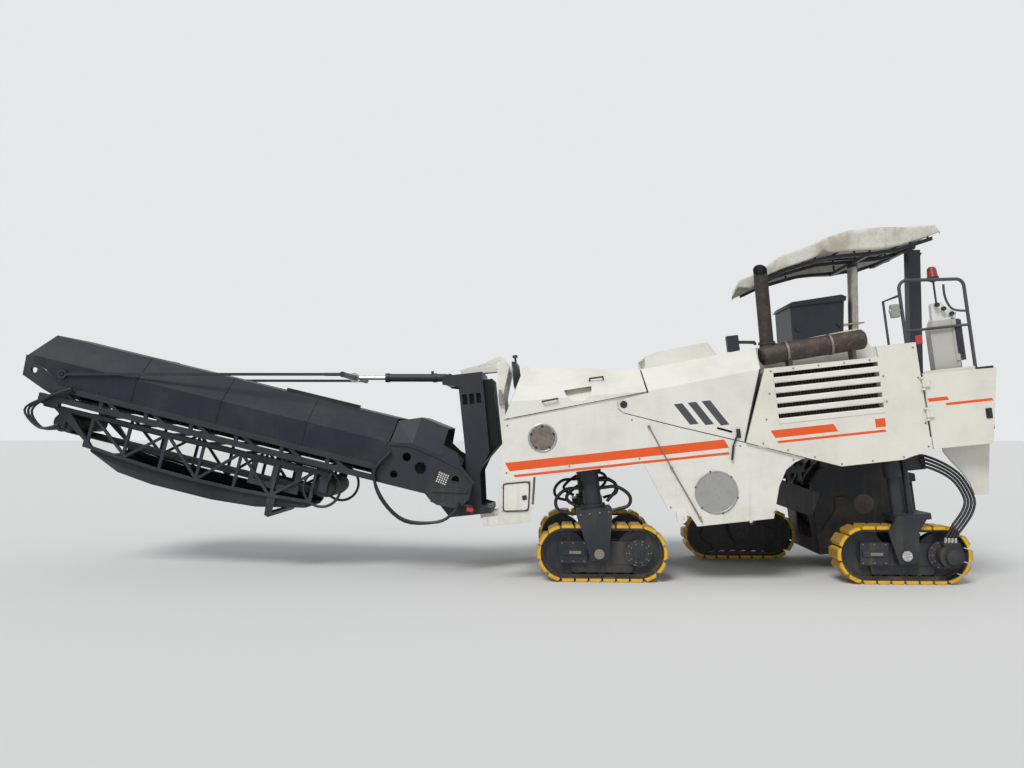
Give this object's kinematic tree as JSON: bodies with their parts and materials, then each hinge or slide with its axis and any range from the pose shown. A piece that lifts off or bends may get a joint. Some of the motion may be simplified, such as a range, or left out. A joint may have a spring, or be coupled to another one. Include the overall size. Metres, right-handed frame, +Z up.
{
  "type": "cold planer milling machine",
  "caption": "Compact front-loading cold planer on four crawler tracks, with a folding discharge conveyor, a milling drum at the rear and a canopy over the stand.",
  "frame": {"origin": "on the ground under the middle of the bounding box", "axes": "+X forward towards the conveyor's end, +Y to the machine's left, +Z up"},
  "size_m": [10.2204, 2.2, 3.6945],
  "materials": {
    "cream_paint": "satin",
    "slate_paint": "satin",
    "yellow_shoe": "matt",
    "rusty_steel": "matt",
    "bare_steel": "gloss",
    "worn_steel": "matt",
    "engine_iron": "matt",
    "grey_box": "satin",
    "black_rubber": "matt",
    "canopy_cloth": "matt",
    "beacon_red": "gloss"
  },
  "bodies": {
    "machine": {"chassis_frame": "slate_paint", "front_tank": "cream_paint", "left_side_panel": "cream_paint", "right_side_panel": "cream_paint", "side_covers": "bare_steel", "radiator_core": "engine_iron", "engine_block": "engine_iron", "louvre_panel": "cream_paint", "rear_body": "cream_paint", "platform_deck": "slate_paint", "cooler_box": "cream_paint", "platform_rail": "slate_paint", "control_console": "slate_paint", "rear_console": "grey_box", "muffler": "rusty_steel", "exhaust_stack": "rusty_steel", "canopy_frame": "bare_steel", "canopy": "canopy_cloth", "beacon": "beacon_red", "drum_housing": "slate_paint", "primary_conveyor": "slate_paint", "slew_bracket": "cream_paint"},
    "bonnet": {"engine_bonnet": "cream_paint"},
    "rear_door": {"rear_door": "cream_paint"},
    "front_hatch": {"front_hatch": "cream_paint"},
    "milling_drum": {"milling_drum": "worn_steel"},
    "scraper": {"scraper_blade": "slate_paint"},
    "leg_front_left": {"fork_front_left": "slate_paint", "track_frame_front_left": "slate_paint", "track_front_left": "yellow_shoe"},
    "leg_front_right": {"fork_front_right": "slate_paint", "track_frame_front_right": "slate_paint", "track_front_right": "yellow_shoe"},
    "leg_rear_left": {"fork_rear_left": "slate_paint", "track_frame_rear_left": "slate_paint", "track_rear_left": "yellow_shoe", "rear_leg_hoses": "black_rubber"},
    "leg_rear_right": {"swing_leg": "slate_paint", "track_frame_rear_right": "slate_paint", "track_rear_right": "yellow_shoe"},
    "mast": {"slew_mast": "slate_paint", "feed_hood": "black_rubber"},
    "inner_conveyor": {"inner_conveyor_frame": "slate_paint", "receiving_hood": "slate_paint", "inner_conveyor_cover": "slate_paint", "inner_belt": "black_rubber", "conveyor_hoses": "black_rubber"},
    "outer_conveyor": {"outer_conveyor_frame": "slate_paint", "outer_conveyor_cover": "slate_paint", "outer_belt": "black_rubber"},
    "lift_tube": {"lift_cylinder_tube": "slate_paint"},
    "lift_rod": {"lift_cylinder_rod": "bare_steel", "conveyor_stays": "slate_paint"}
  },
  "joints": [
    {"name": "front_left_steering", "type": "hinge", "parent": "machine", "child": "leg_front_left", "pos_m": [-1.09785, 0.805, 0.7304], "axis": [0.108, 0, 0.9942], "range_deg": [-25, 25]},
    {"name": "front_right_steering", "type": "hinge", "parent": "machine", "child": "leg_front_right", "pos_m": [-1.09785, -0.735, 0.7304], "axis": [0.108, 0, 0.9942], "range_deg": [-25, 25]},
    {"name": "rear_left_steering", "type": "hinge", "parent": "machine", "child": "leg_rear_left", "pos_m": [-4.11584, 0.805, 0.9124], "axis": [0.108, 0, 0.9942], "range_deg": [-10, 10]},
    {"name": "rear_right_leg_swing", "type": "hinge", "parent": "machine", "child": "leg_rear_right", "pos_m": [-3.43961, -1.045, 0.97976], "axis": [0.108, 0, 0.9942], "range_deg": [-180, 0]},
    {"name": "milling_drum_spin", "type": "hinge", "parent": "machine", "child": "milling_drum", "pos_m": [-4.10265, -0.525, 0.70979], "axis": [0, 1, 0], "continuous": true},
    {"name": "scraper_lift", "type": "hinge", "parent": "machine", "child": "scraper", "pos_m": [-4.6395, -0.525, 0.99947], "axis": [0, 1, 0], "range_deg": [0, 95]},
    {"name": "bonnet_tilt", "type": "hinge", "parent": "machine", "child": "bonnet", "pos_m": [-1.39272, 0.035, 1.77535], "axis": [0, 1, 0], "range_deg": [0, 45]},
    {"name": "rear_door_swing", "type": "hinge", "parent": "machine", "child": "rear_door", "pos_m": [-4.34843, 1.085, 1.64179], "axis": [-0.108, 0, -0.9942], "range_deg": [0, 110]},
    {"name": "front_hatch_swing", "type": "hinge", "parent": "machine", "child": "front_hatch", "pos_m": [-0.18176, 1.0431, 0.97791], "axis": [-0.0009, 0, -1], "range_deg": [0, 110]},
    {"name": "conveyor_slew", "type": "hinge", "parent": "machine", "child": "mast", "pos_m": [0.1924, 0.035, 2.14432], "axis": [0.108, 0, 0.9942], "range_deg": [-35, 35]},
    {"name": "conveyor_lift", "type": "hinge", "parent": "mast", "child": "inner_conveyor", "pos_m": [0.47949, 0.035, 0.80549], "axis": [0, -1, 0], "range_deg": [-3, 10]},
    {"name": "conveyor_fold", "type": "hinge", "parent": "inner_conveyor", "child": "outer_conveyor", "pos_m": [4.85802, 0.035, 1.84419], "axis": [0, -1, 0], "range_deg": [0, 180]},
    {"name": "lift_cylinder_swing", "type": "hinge", "parent": "mast", "child": "lift_tube", "pos_m": [0.46028, 0.035, 2.11019], "axis": [0, -1, 0], "range_deg": [-5, 12]},
    {"name": "lift_rod_slide", "type": "slide", "parent": "lift_tube", "child": "lift_rod", "axis": [1, 0, 0.0038], "range_m": [-0.26, 0.1]}
  ],
  "couplings": [
    {"joint": "front_right_steering", "follows": "front_left_steering", "ratio": 1},
    {"joint": "lift_cylinder_swing", "follows": "conveyor_lift", "ratio": 1.0174},
    {"joint": "lift_rod_slide", "follows": "conveyor_lift", "m_per_rad": -1.3016}
  ]
}
